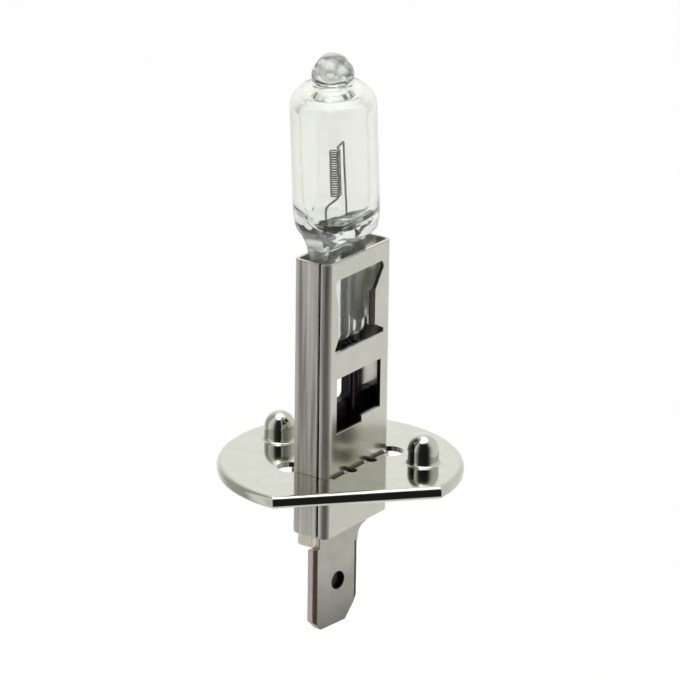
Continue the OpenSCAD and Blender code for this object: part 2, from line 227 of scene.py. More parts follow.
class Finish:
    """One procedural material, built round its Principled shader."""

    def __init__(self, name, **inputs):
        self.material = bpy.data.materials.new(name)
        self.material.use_nodes = True
        self.tree = self.material.node_tree
        self.shader = self.tree.nodes["Principled BSDF"]
        for key, value in inputs.items():
            self.shader.inputs[key.replace("_", " ")].default_value = value

    def node(self, kind, **settings):
        made = self.tree.nodes.new("ShaderNode" + kind)
        for key, value in settings.items():
            setattr(made, key, value)
        return made

    def link(self, source, target):
        self.tree.links.new(source, target)

    def place(self, stretch=(1, 1, 1), turn=0.0):
        """Object coordinates in millimetres, stretched along the object's axes."""
        coordinates = self.node("TexCoord")
        mapping = self.node("Mapping")
        mapping.inputs["Rotation"].default_value = (0, 0, turn)
        mapping.inputs["Scale"].default_value = [s / MM for s in stretch]
        self.link(coordinates.outputs["Object"], mapping.inputs["Vector"])
        return mapping.outputs["Vector"]

    def noise(self, scale, stretch=(1, 1, 1), detail=4.0, roughness=0.55, turn=0.0):
        """Noise with about that many features to the millimetre as scale says."""
        made = self.node("TexNoise")
        made.inputs["Scale"].default_value = scale
        made.inputs["Detail"].default_value = detail
        made.inputs["Roughness"].default_value = roughness
        self.link(self.place(stretch, turn), made.inputs["Vector"])
        return made.outputs["Fac"]

    def ramp(self, value, stops):
        made = self.node("ValToRGB")
        elements = made.color_ramp.elements
        for place, colour in stops[2:]:
            elements.new(place)
        for element, (place, colour) in zip(elements, sorted(stops)):
            element.position = place
            element.color = (*colour, 1)
        self.link(value, made.inputs["Fac"])
        return made.outputs["Color"]

    def spread(self, value, low, high, start=0.3, end=0.7):
        made = self.node("MapRange")
        for key, number in (("From Min", start), ("From Max", end), ("To Min", low), ("To Max", high)):
            made.inputs[key].default_value = number
        self.link(value, made.inputs["Value"])
        return made.outputs["Result"]

    def multiply(self, first, second):
        """Product of two colours."""
        made = self.node("Mix", data_type="RGBA", blend_type="MULTIPLY")
        made.inputs["Factor"].default_value = 1.0
        self.link(first, made.inputs[6])
        self.link(second, made.inputs[7])
        return made.outputs[2]

    def colour(self, output):
        self.link(output, self.shader.inputs["Base Color"])

    def roughness(self, output):
        self.link(output, self.shader.inputs["Roughness"])

    def bumps(self, *layers):
        """Bump layers, each a height output and its depth in millimetres."""
        normal = None
        for height, depth in layers:
            bump = self.node("Bump")
            bump.inputs["Strength"].default_value = 1.0
            bump.inputs["Distance"].default_value = depth * MM
            self.link(height, bump.inputs["Height"])
            if normal is not None:
                self.link(normal, bump.inputs["Normal"])
            normal = bump.outputs["Normal"]
        self.link(normal, self.shader.inputs["Normal"])


def plated_metal(name, light, dark, rough, lines, depth=0.0006):
    """Bright plated sheet: cloudy tone, drawing lines along z, and a faint ripple."""
    finish = Finish(name, Metallic=1.0)
    cloud = finish.noise(0.55, detail=3.0)
    drawn = finish.noise(6.0, stretch=lines, detail=5.0, roughness=0.65)
    ripple = finish.noise(0.35, detail=1.0)
    finish.colour(finish.ramp(cloud, [(0.3, dark), (0.7, light)]))
    finish.roughness(finish.spread(drawn, rough[0], rough[1]))
    finish.bumps((drawn, depth), (ripple, 14 * depth))
    return finish.material


def streaked_metal():
    """Narrow wall of the sleeve: upright streaks of grey and a faint pink, from rolling it."""
    finish = Finish("end_wall", Metallic=1.0)
    streaks = finish.noise(1.5, stretch=(1, 1, 0.02), detail=4.0, roughness=0.6)
    fine = finish.noise(7.0, stretch=(1, 1, 0.02), detail=4.0)
    finish.colour(finish.ramp(streaks, [
        (0.36, (0.33, 0.295, 0.285)), (0.62, (0.74, 0.73, 0.66)), (0.47, (0.56, 0.53, 0.49)),
    ]))
    finish.roughness(finish.spread(fine, 0.46, 0.58))
    finish.bumps((streaks, 0.02), (fine, 0.0004))
    return finish.material


def sheared_edge_shade_metal():
    """Sheared sheet edges: duller and darker than the plated faces, painted near-black as seam shade.
    """
    finish = Finish("cut_edge_painted_shade", Metallic=1.0)
    grain = finish.noise(9.0, stretch=(1, 1, 0.3), detail=6.0)
    # Near-black tone: bare steel's own darker tone, deepened as painted shade for the seam and window
    # edges
    finish.colour(finish.ramp(grain, [(0.3, (0.035, 0.032, 0.03)), (0.7, (0.11, 0.105, 0.095))]))
    finish.roughness(finish.spread(grain, 0.3, 0.5))
    finish.bumps((grain, 0.004))
    return finish.material


def terminal_metal():
    """Tinned blade: satin tone that darkens to the tip, rolling marks and small scuffs."""
    finish = Finish("terminal_metal", Metallic=1.0)
    cloud = finish.noise(0.5, detail=4.0)
    rolled = finish.noise(5.0, stretch=(1, 1, 0.12), detail=6.0, roughness=0.7)
    scuffs = finish.noise(11.0, detail=8.0, roughness=0.75)
    tone = finish.ramp(cloud, [(0.3, (0.44, 0.43, 0.38)), (0.7, (0.53, 0.52, 0.46))])
    height = finish.node("SeparateXYZ")
    finish.link(finish.place(), height.inputs[0])
    # Tone darkens towards the blade's tip
    darker_to_tip = finish.spread(height.outputs["Z"], 0.45, 1.0, BLADE_TIP_Z, BLADE_TIP_Z + TIP_DARKENING_RISE)
    finish.colour(finish.multiply(tone, darker_to_tip))
    finish.roughness(finish.spread(scuffs, 0.24, 0.42))
    finish.bumps((rolled, 0.0012), (scuffs, 0.0012))
    return finish.material


def sheared_metal():
    """Coppery sheared sides of the blade."""
    finish = Finish("sheared_side", Metallic=1.0)
    grain = finish.noise(7.0, stretch=(1, 1, 0.25), detail=6.0)
    finish.colour(finish.ramp(grain, [(0.3, (0.44, 0.36, 0.35)), (0.7, (0.60, 0.51, 0.50))]))
    finish.roughness(finish.spread(grain, 0.28, 0.42))
    finish.bumps((grain, 0.004))
    return finish.material


def ceramic_body():
    """Unglazed cream ceramic with a fine grain."""
    finish = Finish("ceramic", Subsurface_Weight=0.15)
    finish.shader.inputs["Subsurface Radius"].default_value = (0.0008, 0.0007, 0.0005)
    cloud = finish.noise(0.9, detail=5.0)
    grain = finish.noise(14.0, detail=6.0, roughness=0.7)
    finish.colour(finish.ramp(cloud, [(0.3, (0.70, 0.66, 0.54)), (0.7, (0.80, 0.77, 0.66))]))
    finish.roughness(finish.spread(grain, 0.55, 0.75))
    finish.bumps((grain, 0.012))
    return finish.material


def black_moulding():
    """Glossy black moulding of the yoke."""
    finish = Finish("black_moulding", Specular_IOR_Level=0.2)
    cloud = finish.noise(0.8, detail=3.0)
    grain = finish.noise(12.0, detail=6.0)
    finish.colour(finish.ramp(cloud, [(0.3, (0.006, 0.005, 0.006)), (0.7, (0.016, 0.012, 0.016))]))
    finish.roughness(finish.spread(grain, 0.3, 0.45))
    finish.bumps((grain, 0.006))
    return finish.material


def hard_glass(name, dark, light, rough, clearness=1.0):
    """Quartz with faint draw lines and a slight green cast, deepened edge-on, partly as painted shade.
    """
    finish = Finish(name, Transmission_Weight=clearness, IOR=1.46)
    cast = finish.noise(0.25, detail=2.0)
    wave = finish.noise(0.7, stretch=(1, 1, 0.22), detail=1.5)
    face_on = finish.ramp(cast, [(0.3, dark), (0.7, light)])
    # Edge-on darkening: partly the longer path through green glass, partly painted shade
    slant = finish.node("LayerWeight")
    slant.inputs["Blend"].default_value = 0.5
    depth = finish.ramp(slant.outputs["Facing"], [(0.55, (1, 1, 1)), (0.97, GLASS_EDGE_TINT_AND_SHADE)])
    finish.colour(finish.multiply(face_on, depth))
    finish.roughness(finish.spread(wave, rough[0], rough[1]))
    finish.bumps((wave, 0.012))
    return finish.material


def wire_metal(name, light, dark, rough):
    """Drawn wire or rolled foil with a fine grain."""
    finish = Finish(name, Metallic=1.0)
    grain = finish.noise(9.0, detail=5.0)
    finish.colour(finish.ramp(grain, [(0.3, dark), (0.7, light)]))
    finish.roughness(finish.spread(grain, rough, rough + 0.15))
    finish.bumps((grain, 0.003))
    return finish.material


def floor_paper():
    """Matt white studio paper."""
    finish = Finish("floor_paper", Roughness=0.9)
    fibre = finish.noise(0.02, detail=3.0)
    finish.colour(finish.ramp(fibre, [(0.3, (0.96, 0.96, 0.955)), (0.7, (0.975, 0.975, 0.97))]))
    return finish.material


# ---------------------------------------------------------------- pieces from CAD nodes


def set_normals(mesh, limit=50):
    """Smooth normals in which the larger face wins, so that flat faces stay flat."""
    shape = bmesh.new()
    shape.from_mesh(mesh)
    shape.normal_update()
    nearly = math.cos(math.radians(limit))
    areas = {face: face.calc_area() for face in shape.faces}
    normals = []
    for face in shape.faces:
        for loop in face.loops:
            total = Vector()
            for other in loop.vert.link_faces:
                if other.normal.dot(face.normal) > nearly:
                    total += other.normal * areas[other]
            normals.append(total.normalized() if total.length > 0 else face.normal.copy())
    shape.free()
    mesh.normals_split_custom_set(normals)


def softened(name, node, width, segments=2, corner=32):
    """Copy of a CAD node with its sharp edges rounded, as pressing and tumbling leave them."""
    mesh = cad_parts[node].data.copy()
    mesh.name = name
    shape = bmesh.new()
    shape.from_mesh(mesh)
    bmesh.ops.remove_doubles(shape, verts=shape.verts, dist=0.002 * MM)
    bmesh.ops.dissolve_limit(
        shape, angle_limit=math.radians(0.6), verts=shape.verts, edges=shape.edges
    )
    sharp = [e for e in shape.edges if e.is_manifold and e.calc_face_angle() > math.radians(corner)]
    bmesh.ops.bevel(
        shape, geom=sharp, offset=width * MM, segments=segments, affect="EDGES", clamp_overlap=False
    )
    for face in shape.faces:
        face.smooth = True
    shape.to_mesh(mesh)
    shape.free()
    set_normals(mesh)
    piece = bpy.data.objects.new(name, mesh)
    bpy.context.scene.collection.objects.link(piece)
    return piece


def finish_piece(piece, materials, slot, *nodes):
    """Gives a piece its materials and body, and hides the CAD nodes it stands for; slot is not used.
    """
    piece.data.materials.clear()
    for material in materials:
        piece.data.materials.append(material)
    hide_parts(*nodes)
    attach(piece, "root")
    return piece


def sheet_depth(u, v, half_w, half_n, corner):
    """How far a point lies inside the outline of a round-cornered sleeve."""
    across = max(abs(u) - half_w + corner, 0)
    along = max(abs(v) - half_n + corner, 0)
    inner = min(max(abs(u) - half_w + corner, abs(v) - half_n + corner), 0)
    return corner - math.hypot(across, along) - inner


def add_sleeve():
    """Rolled sleeve: plated faces, streaked narrow walls, and darker sheared edges with painted shade.
    """
    piece = softened("holder_sleeve_rolled", "holder_sleeve", 0.06)
    plated = plated_metal(
        "sleeve_metal", (0.645, 0.645, 0.57), (0.60, 0.60, 0.53), (0.18, 0.24), (1, 1, 0.02), 0.0002
    )
    finish_piece(piece, [plated, sheared_edge_shade_metal(), streaked_metal()], "sleeve_metal", "holder_sleeve")
    low, high = local_box("holder_sleeve")
    half_w, half_n = (high - low)[:2] / 2
    for face in piece.data.polygons:
        centre = face.center / MM
        u, v = centre.dot(AXIS_U), centre.dot(AXIS_V)
        depth = sheet_depth(u, v, half_w, half_n, SLEEVE_CORNER_R)
        in_thickness = SHEAR_MARGIN < depth < SLEEVE_SHEET - SHEAR_MARGIN
        off_wide = abs(face.normal.dot(AXIS_V)) < OFF_WIDE_WALL
        on_end_wall = off_wide and abs(u) > half_w - END_WALL_REACH
        if in_thickness and abs(face.normal.z) < NOT_LEVEL:
            # Faces in the sheet's thickness: dark tone that is partly painted shade for the seam
            face.material_index = 1
        elif depth < SHEAR_MARGIN and on_end_wall:
            face.material_index = 2
    return piece


def tab_shade_metal():
    """Disc tabs beside the sleeve, painted dark as shade where they meet its wall."""
    finish = Finish("tab_shade_metal", Metallic=1.0)
    grain = finish.noise(5.0, detail=5.0)
    # Dark tone: painted shade at the foot of the sleeve's walls
    finish.colour(finish.ramp(grain, [(0.3, (0.15, 0.145, 0.13)), (0.7, (0.27, 0.26, 0.235))]))
    finish.roughness(finish.spread(grain, 0.25, 0.4))
    finish.bumps((grain, 0.004))
    return finish.material


def add_disc():
    """Pressed cap disc, with tabs painted darker as shade along both wide walls of the sleeve."""
    piece = softened("flange_disc_pressed", "flange_disc", 0.05)
    metal = plated_metal(
        "cap_metal", (0.60, 0.61, 0.54), (0.55, 0.56, 0.49), (0.06, 0.13), (1, 1, 1), 0.0006
    )
    finish_piece(piece, [metal, tab_shade_metal()], "cap_metal", "flange_disc")
    low, high = local_box("holder_sleeve")
    wall = (high - low)[1] / 2
    for face in piece.data.polygons:
        centre = face.center / MM
        beside = wall < abs(centre.dot(AXIS_V)) < wall + TAB_REACH
        along_row = abs(centre.dot(AXIS_U)) < TAB_ROW_HALF
        if beside and along_row and face.area / MM ** 2 < TAB_FACE_AREA:
            # Tabs get the tone painted darker as shade
            face.material_index = 1
    return piece


def add_ceramic():
    """Ceramic block, its edges rounded by pressing."""
    piece = softened("ceramic_insulator_pressed", "ceramic_insulator", 0.12, segments=3)
    return finish_piece(piece, [ceramic_body()], "ceramic", "ceramic_insulator")


def add_yoke():
    """Black yoke, its edges rounded by moulding."""
    piece = softened("insulating_yoke_moulded", "insulating_yoke", 0.06)
    return finish_piece(piece, [black_moulding()], "yoke_black", "insulating_yoke")


def dimple_shade_and_bevel_metal():
    """Dark brown of the latch dimple, painted shade in its recess, and of the darker bevelled front
    edges.
    """
    finish = Finish("dimple_shade_and_dark_bevel", Metallic=1.0)
    grain = finish.noise(6.0, detail=6.0)
    # Dark brown: painted shade in the dimple, and a darker tone on the bevels
    finish.colour(finish.ramp(grain, [(0.3, (0.055, 0.038, 0.03)), (0.7, (0.12, 0.09, 0.075))]))
    finish.roughness(finish.spread(grain, 0.35, 0.55))
    finish.bumps((grain, 0.006))
    return finish.material


def add_blade():
    """Terminal blade: coppery sheared sides, painted shade in the dimple, and darker bevelled front
    edges.
    """
    piece = softened("terminal_blade_stamped", "terminal_blade", 0.05)
    finish_piece(
        piece, [terminal_metal(), sheared_metal(), dimple_shade_and_bevel_metal()], "terminal_metal",
        "terminal_blade",
    )
    points = node_points("terminal_blade")
    low, high = points.min(0), points.max(0)
    broad = sorted(piece.data.polygons, key=lambda f: f.area)[-1].normal.copy()
    across = AXIS_Z.cross(broad)
    middle = Vector((low + high) / 2)
    half_t = max(abs((Vector(p) - middle).dot(broad)) for p in points)
    for face in piece.data.polygons:
        centre = face.center / MM - middle
        rise = face.center.z / MM - low[2]
        sideways = abs(face.normal.dot(across))
        deep = abs(centre.dot(broad)) < half_t - BLADE_SKIN
        central = abs(centre.dot(across)) < DIMPLE_HALF
        dimple = deep and central and DIMPLE_RISE[0] < rise < DIMPLE_RISE[1]
        slanted = BEVEL_SLOPES[0] < sideways < BEVEL_SLOPES[1]
        bevel = slanted and abs(face.normal.z) < BEVEL_LEVEL and rise < BEVEL_RISE
        # Dimple walls get painted shade; bevelled front edges are made darker
        if dimple or bevel:
            face.material_index = 2
        elif sideways > BEVEL_SLOPES[1]:
            face.material_index = 1
    return piece


# ---------------------------------------------------------------- swept and lofted pieces


def new_piece(name, points, faces):
    """Smooth mesh object from row-frame points in millimetres."""
    mesh = bpy.data.meshes.new(name)
    mesh.from_pydata([tuple(p * MM for p in point) for point in points], [], faces)
    mesh.validate()
    mesh.polygons.foreach_set("use_smooth", [True] * len(mesh.polygons))
    piece = bpy.data.objects.new(name, mesh)
    bpy.context.scene.collection.objects.link(piece)
    return piece


def smooth_path(corners, bend, steps=6):
    """Polyline through corners, each rounded by a short curve of about bend millimetres."""
    path = [corners[0]]
    for before, corner, after in zip(corners, corners[1:], corners[2:]):
        back = before - corner
        ahead = after - corner
        reach = min(bend, 0.45 * back.length, 0.45 * ahead.length)
        start = corner + back.normalized() * reach
        end = corner + ahead.normalized() * reach
        for step in range(steps + 1):
            t = step / steps
            path.append(start * (1 - t) ** 2 + corner * 2 * t * (1 - t) + end * t * t)
    return path + [corners[-1]]


def tube(path, radius, sides=12):
    """Points and faces of a round wire along a path, with domed ends."""
    tangents = [
        (path[min(i + 1, len(path) - 1)] - path[max(i - 1, 0)]).normalized() for i in range(len(path))
    ]
    side = tangents[0].orthogonal().normalized()
    rings = []
    for point, tangent in zip(path, tangents):
        side = (side - tangent * side.dot(tangent)).normalized()
        rings.append((point, side, tangent.cross(side), radius))
    for end, sign in ((0, -1), (-1, 1)):
        point, across, other, _ = rings[end]
        tangent = tangents[end] * sign
        domes = [(point + tangent * radius * math.sin(a), across, other, radius * math.cos(a))
                 for a in WIRE_DOME_ANGLES]
        rings = domes[::-1] + rings if end == 0 else rings + domes
    points = [
        centre + (across * math.cos(a) + other * math.sin(a)) * r
        for centre, across, other, r in rings
        for a in (2 * math.pi * j / sides for j in range(sides))
    ]
    faces = []
    for i in range(len(rings) - 1):
        for j in range(sides):
            here, ahead = i * sides, (i + 1) * sides
            k = (j + 1) % sides
            faces.append((here + j, here + k, ahead + k, ahead + j))
    faces.append(tuple(range(sides - 1, -1, -1)))
    faces.append(tuple((len(rings) - 1) * sides + j for j in range(sides)))
    return points, faces


def add_coil(material):
    """Tungsten coil, its pitch a little uneven."""
    radius = slice_radius("filament_coil") - COIL_WIRE_D / 2
    count = COIL_TURNS * COIL_STEPS
    path = []
    for i in range(count + 1):
        turn = 2 * math.pi * i / COIL_STEPS
        share = i / count
        uneven = 0.03 * math.sin(9.0 * share) + 0.02 * math.sin(23.0 * share)
        height = COIL_LOW + COIL_WIRE_D / 2 + (COIL_HIGH - COIL_LOW - COIL_WIRE_D) * share + uneven
        height = min(max(height, COIL_LOW), COIL_HIGH)
        path.append(lean((radius * math.cos(turn), radius * math.sin(turn), height)))
    piece = new_piece("filament_coil_wound", *tube(path, COIL_WIRE_D / 2, 10))
    return finish_piece(piece, [material], "tungsten", "filament_coil")


def slice_radius(node):
    """Half of the width, along v, of a round node that stands on the burner's axis."""
    low, high = local_box(node)
    lift = abs(SLOPE[1]) * (high[2] - low[2])
    return (high[1] - low[1] - lift) / 2


def add_leads(material):
    """Short lead to the near end of the coil, and long lead past it to the far end."""
    root_z = local_box("short_lead")[0][2]
    root_v = (local_box("foil_live")[1][1] - BURNER[1]) + LEAD_LAP
    bend_z = COIL_LOW - SHORT_LEAD_DROP
    peak_z = local_box("long_lead")[1][2] - LEAD_D / 2
    short = [
        (-LEAD_U, root_v, root_z + LEAD_D / 2), (-LEAD_U, root_v, SEAL_Z[0]), (-LEAD_U, 0, SEAL_Z[1]),
        (-LEAD_U, 0, bend_z - 0.25), (LEAD_JOIN - 0.35, 0, bend_z + 0.05),
        (LEAD_JOIN, 0, COIL_LOW - 0.02),
    ]
    long = [
        (LEAD_U, root_v, root_z + LEAD_D / 2), (LEAD_U, root_v, SEAL_Z[0]), (LEAD_U, 0, SEAL_Z[1]),
        (LEAD_U - LONG_LEAD_TIP_IN, 0, peak_z), (LEAD_JOIN, 0, COIL_HIGH + 0.05),
    ]
    for name, node, corners, bend in (
        ("short_lead_bent", "short_lead", short, 0.55), ("long_lead_bent", "long_lead", long, 0.2),
    ):
        path = smooth_path([lean(c) for c in corners], bend)
        piece = new_piece(name, *tube(path, LEAD_D / 2))
        finish_piece(piece, [material], "lead_wire", node)


def pinch_half(a, front):
    """Half thickness of the press seal at a from its axis, on its front or its back."""
    centre = PINCH_HALF - EDGE_RIB_R
    beyond = abs(a) - centre
    if beyond > 0:
        return math.sqrt(max(EDGE_RIB_R ** 2 - beyond ** 2, 0))
    near = max(1 + beyond / EDGE_RIB_R, 0)
    thick = WEB_HALF + (EDGE_RIB_R - WEB_HALF) * near * near * (3 - 2 * near)
    if front:
        off = a - FRONT_RIB_U
        if abs(off) < FRONT_RIB_R:
            thick = max(thick, -FRONT_RIB_V + math.sqrt(FRONT_RIB_R ** 2 - off ** 2))
    return thick


def pinch_point(turn):
    """Point of the press seal's outline at an angle about its axis."""
    a = PINCH_HALF * math.cos(turn)
    rise = math.sin(turn)
    half = pinch_half(a, rise < 0)
    return a, math.copysign(half, rise) if abs(rise) > 1e-6 else 0.0


def arc(centre_r, centre_z, radius, start, end, count):
    """Profile points on a round stretch, angles in degrees from the outward direction."""
    return [
        (centre_r + radius * math.cos(math.radians(a)), centre_z + radius * math.sin(math.radians(a)))
        for a in np.linspace(start, end, count)
    ]


def outer_profile(bulb_r):
    """Radius and height down the outside of the glass, from the exhaust tip to its foot."""
    tip_r = (BULB_TOP - NECK_Z) / 2 + TIP_OVERLAP
    tip_centre = BULB_TOP - tip_r
    shoulder_z = NECK_Z - SHOULDER_R
    profile = arc(0, tip_centre, tip_r, 88, -18, 22)
    profile += [(NECK_R - 0.08, NECK_Z + 0.32), (NECK_R, NECK_Z + 0.06)]
    profile += arc(bulb_r - SHOULDER_R, shoulder_z, SHOULDER_R, 86, 0, 16)
    profile += [(bulb_r, z) for z in np.linspace(shoulder_z, TAPER_Z[1], 34)[1:]]
    for t in np.linspace(0, 1, 10)[1:]:
        drop = (TAPER_Z[1] - TAPER_Z[0]) * t
        profile.append((bulb_r - (bulb_r - TAPER_R) * t * t, TAPER_Z[1] - drop))
    profile += [(TAPER_R, z) for z in np.linspace(TAPER_Z[0], PINCH_FOOT + EDGE_RIB_R, 60)[1:]]
    return profile


def crumple(a, b, z):
    """Folds pressed into the glass at the seal: ridges that run along the sleeve."""
    along = z - FOLD_SLANT * a
    wide = Vector((FOLD_WAVES[0] * a, FOLD_WAVES[1] * b, FOLD_WAVES[2] * along))
    fine = Vector((FINE_WAVES[0] * a + 7, FINE_WAVES[1] * b, FINE_WAVES[2] * along))
    ridge = 1 - 2 * abs(noise.noise(wide))
    return FOLD_HEIGHTS[0] * (ridge - 0.45) + FOLD_HEIGHTS[1] * noise.noise(fine)


def tip_lump(a, b, z):
    """How far the exhaust tip swells out, where it was melted off."""
    wide = Vector((LUMP_WAVES[0] * a, LUMP_WAVES[1] * b, LUMP_WAVES[2] * z))
    small = Vector((SMALL_LUMP_WAVES[0] * a, SMALL_LUMP_WAVES[1] * b, SMALL_LUMP_WAVES[2] * z))
    lump = noise.noise(wide + Vector((3.1, 0.4, 0)))
    return min(LUMP_HEIGHTS[0] * lump + LUMP_HEIGHTS[1] * noise.noise(small), LUMP_LIMIT)


def window(value, low, high, soft):
    """1 between low and high, easing to 0 over soft outside them."""
    into = min(max((value - low) / soft + 1, 0), 1)
    out = min(max((high - value) / soft + 1, 0), 1)
    return into * into * (3 - 2 * into) * out * out * (3 - 2 * out)


def seal_blend(z):
    """0 where the glass is round, 1 where it is pressed flat."""
    t = min(max((SEAL_Z[1] - z) / (SEAL_Z[1] - SEAL_Z[0]), 0), 1)
    return t * t * (3 - 2 * t)


def glass_outer():
    """Rings of the outer surface, in the burner's own axes."""
    bulb_r = bulb_radius()
    rings = []
    for radius, z in outer_profile(bulb_r):
        flat = seal_blend(z)
        tip = window(z, NECK_Z + 0.5, BULB_TOP, 0.5)
        fold = window(z, FOLD_Z[0], FOLD_Z[1], 1.2)
        ring = []
        for j in range(RING_POINTS):
            turn = 2 * math.pi * j / RING_POINTS
            a_flat, b_flat = pinch_point(turn)
            a = (1 - flat) * radius * math.cos(turn) + flat * a_flat
            b = (1 - flat) * radius * math.sin(turn) + flat * b_flat
            grow = 0.0
            if tip > 0:
                grow = tip * tip_lump(a, b, z)
            if fold > 0:
                share = 0.35 + 0.65 * abs(math.sin(turn))
                grow += fold * min(crumple(a, b, z), FOLD_LIMIT) * share
            length = math.hypot(a, b) or 1.0
            ring.append((a + grow * a / length, b + grow * b / length, z))
        rings.append(ring)
    return rings


def bulb_radius():
    """Outer radius of the bulb, from the CAD glass at the height of the coil."""
    points = local_points("glass_envelope")
    shoulder_z = NECK_Z - SHOULDER_R
    barrel = points[(points[:, 2] > TAPER_Z[1] - 0.4) & (points[:, 2] < shoulder_z + 0.4)]
    rise = barrel[:, 2] - LEAN_PIVOT_Z
    a = barrel[:, 0] - BURNER[0] - SLOPE[0] * rise
    b = barrel[:, 1] - BURNER[1] - SLOPE[1] * rise
    return float(np.hypot(a, b).max())


def glass_cavity():
    """Rings of the gas space, from the dimple under the tip down to the seal."""
    inner_r = bulb_radius() - BULB_WALL
    top = CAVITY_Z[1]
    corner_z = top - CAVITY_CORNER_R
    profile = [(radius, top + rise) for radius, rise in TIP_HOLLOW]
    profile += arc(inner_r - CAVITY_CORNER_R, corner_z, CAVITY_CORNER_R, 60, 0, 10)
    taper_top = TAPER_Z[1] + BULB_WALL
    profile += [(inner_r, z) for z in np.linspace(corner_z, taper_top, 20)[1:]]
    low = CAVITY_Z[0]
    for t in np.linspace(0, 1, 16)[1:]:
        z = taper_top - (taper_top - low) * t
        closing = (CAVITY_END * t) ** CAVITY_END_POWER
        profile.append((inner_r * math.sqrt(max(1 - closing, 0)), z))
    rings = []
    for radius, z in profile:
        fold = window(z, low, low + 1.5, 1.0)
        squeeze = 1 - CAVITY_SQUEEZE * min(max((TAPER_Z[1] - z) / (TAPER_Z[1] - low), 0), 1)
        ring = []
        for j in range(RING_POINTS):
            turn = 2 * math.pi * j / RING_POINTS
            a = radius * math.cos(turn)
            b = radius * math.sin(turn) * squeeze
            lift = fold * CAVITY_FOLD * crumple(a + 5, b, z)
            ring.append((a, b, z + lift))
        rings.append(ring)
    return rings


def loft(rings, inward):
    """Points and faces of a closed skin over rings, its normals out or inward."""
    points = [lean(p) for ring in rings for p in ring]
    count = len(rings[0])
    faces = []
    for i in range(len(rings) - 1):
        for j in range(count):
            k = (j + 1) % count
            faces.append((i * count + j, (i + 1) * count + j, (i + 1) * count + k, i * count + k))
    for end, base in ((0, 0), (-1, (len(rings) - 1) * count)):
        centre = sum((points[base + j] for j in range(count)), Vector()) / count
        points.append(centre)
        for j in range(count):
            k = (j + 1) % count
            face = (len(points) - 1, base + j, base + k)
            faces.append(face if end == 0 else face[::-1])
    if inward:
        faces = [face[::-1] for face in faces]
    return points, faces


def pinch_end():
    """Rings that close the foot of the press seal, its ribs ending in round beads."""
    rings = []
    foot = PINCH_FOOT + EDGE_RIB_R
    for angle in BEAD_ANGLES:
        drop = math.sin(math.radians(angle))
        shrink = math.cos(math.radians(angle))
        ring = []
        for j in range(RING_POINTS):
            a, b = pinch_point(2 * math.pi * j / RING_POINTS)
            inset = min(EDGE_RIB_R, PINCH_HALF) * (1 - shrink)
            a_in = a * (PINCH_HALF - inset) / PINCH_HALF
            ring.append((a_in, b * shrink, foot - EDGE_RIB_R * drop))
        rings.append(ring)
    return rings


def add_glass():
    """Glass with its gas space: clear barrel, rougher seal and tip, paler inner wall."""
    outer_points, outer_faces = loft(glass_outer() + pinch_end(), False)
    inner_points, inner_faces = loft(glass_cavity(), True)
    shift = len(outer_points)
    faces = outer_faces + [tuple(i + shift for i in face) for face in inner_faces]
    piece = new_piece("glass_envelope_blown", outer_points + inner_points, faces)
    clear = hard_glass("glass", (0.83, 0.849, 0.784), (0.854, 0.868, 0.808), (0.0, 0.004))
    seal = hard_glass("seal_glass", (0.86, 0.90, 0.85), (0.92, 0.945, 0.91), (0.10, 0.22), 0.82)
    tip = hard_glass("tip_glass", (0.78, 0.825, 0.765), (0.86, 0.89, 0.84), (0.08, 0.18), 0.9)
    inside = hard_glass("inner_glass", (0.975, 0.98, 0.97), (0.99, 0.995, 0.985), (0.0, 0.004))
    finish_piece(piece, [clear, seal, tip, inside], "glass", "glass_envelope")
    for face in piece.data.polygons:
        height = face.center.z / MM
        if face.index >= len(outer_faces):
            face.material_index = 3
        elif height < SEAL_Z[1] + 0.1:
            face.material_index = 1
        elif height > NECK_Z + 0.3:
            face.material_index = 2
    return piece


def dress_nodes():
    """Materials for the CAD nodes that are shown as they are."""
    foil = wire_metal("foil", (0.46, 0.46, 0.45), (0.38, 0.38, 0.37), 0.25)
    outer = wire_metal("outer_lead", (0.50, 0.49, 0.47), (0.36, 0.35, 0.34), 0.22)
    scaled = wire_metal("outer_lead_scaled", (0.085, 0.055, 0.085), (0.03, 0.02, 0.03), 0.3)
    for node, material in (
        ("foil_live", foil), ("foil_earth", foil),
        ("outer_lead_live", scaled), ("outer_lead_earth", outer),
    ):
        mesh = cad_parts[node].data
        mesh.materials.clear()
        mesh.materials.append(material)


# ---------------------------------------------------------------- studio


def add_camera():
    """Camera on a turned and slid arm about the object's origin."""
    azimuth, elevation, roll = (
        math.radians(a) for a in (CAMERA_AZIMUTH, CAMERA_ELEVATION, CAMERA_ROLL)
    )
    right = Vector((math.cos(azimuth), math.sin(azimuth), 0))
    back = Vector((
        math.sin(azimuth) * math.cos(elevation),
        -math.cos(azimuth) * math.cos(elevation),
        math.sin(elevation),
    ))
    up = back.cross(right)
    across = right * math.cos(roll) - up * math.sin(roll)
    upward = right * math.sin(roll) + up * math.cos(roll)
    place = (across * CAMERA_SLIDE[0] + upward * CAMERA_SLIDE[1] + back * CAMERA_DISTANCE) * MM
    camera = bpy.data.cameras.new("camera")
    camera.lens = CAMERA_LENS
    camera.sensor_width = 36
    camera.clip_start = 0.01
    rig = bpy.data.objects.new("camera", camera)
    rig.matrix_world = Matrix.Translation(place) @ Matrix((across, upward, back)).transposed().to_4x4()
    bpy.context.scene.collection.objects.link(rig)
    bpy.context.scene.camera = rig


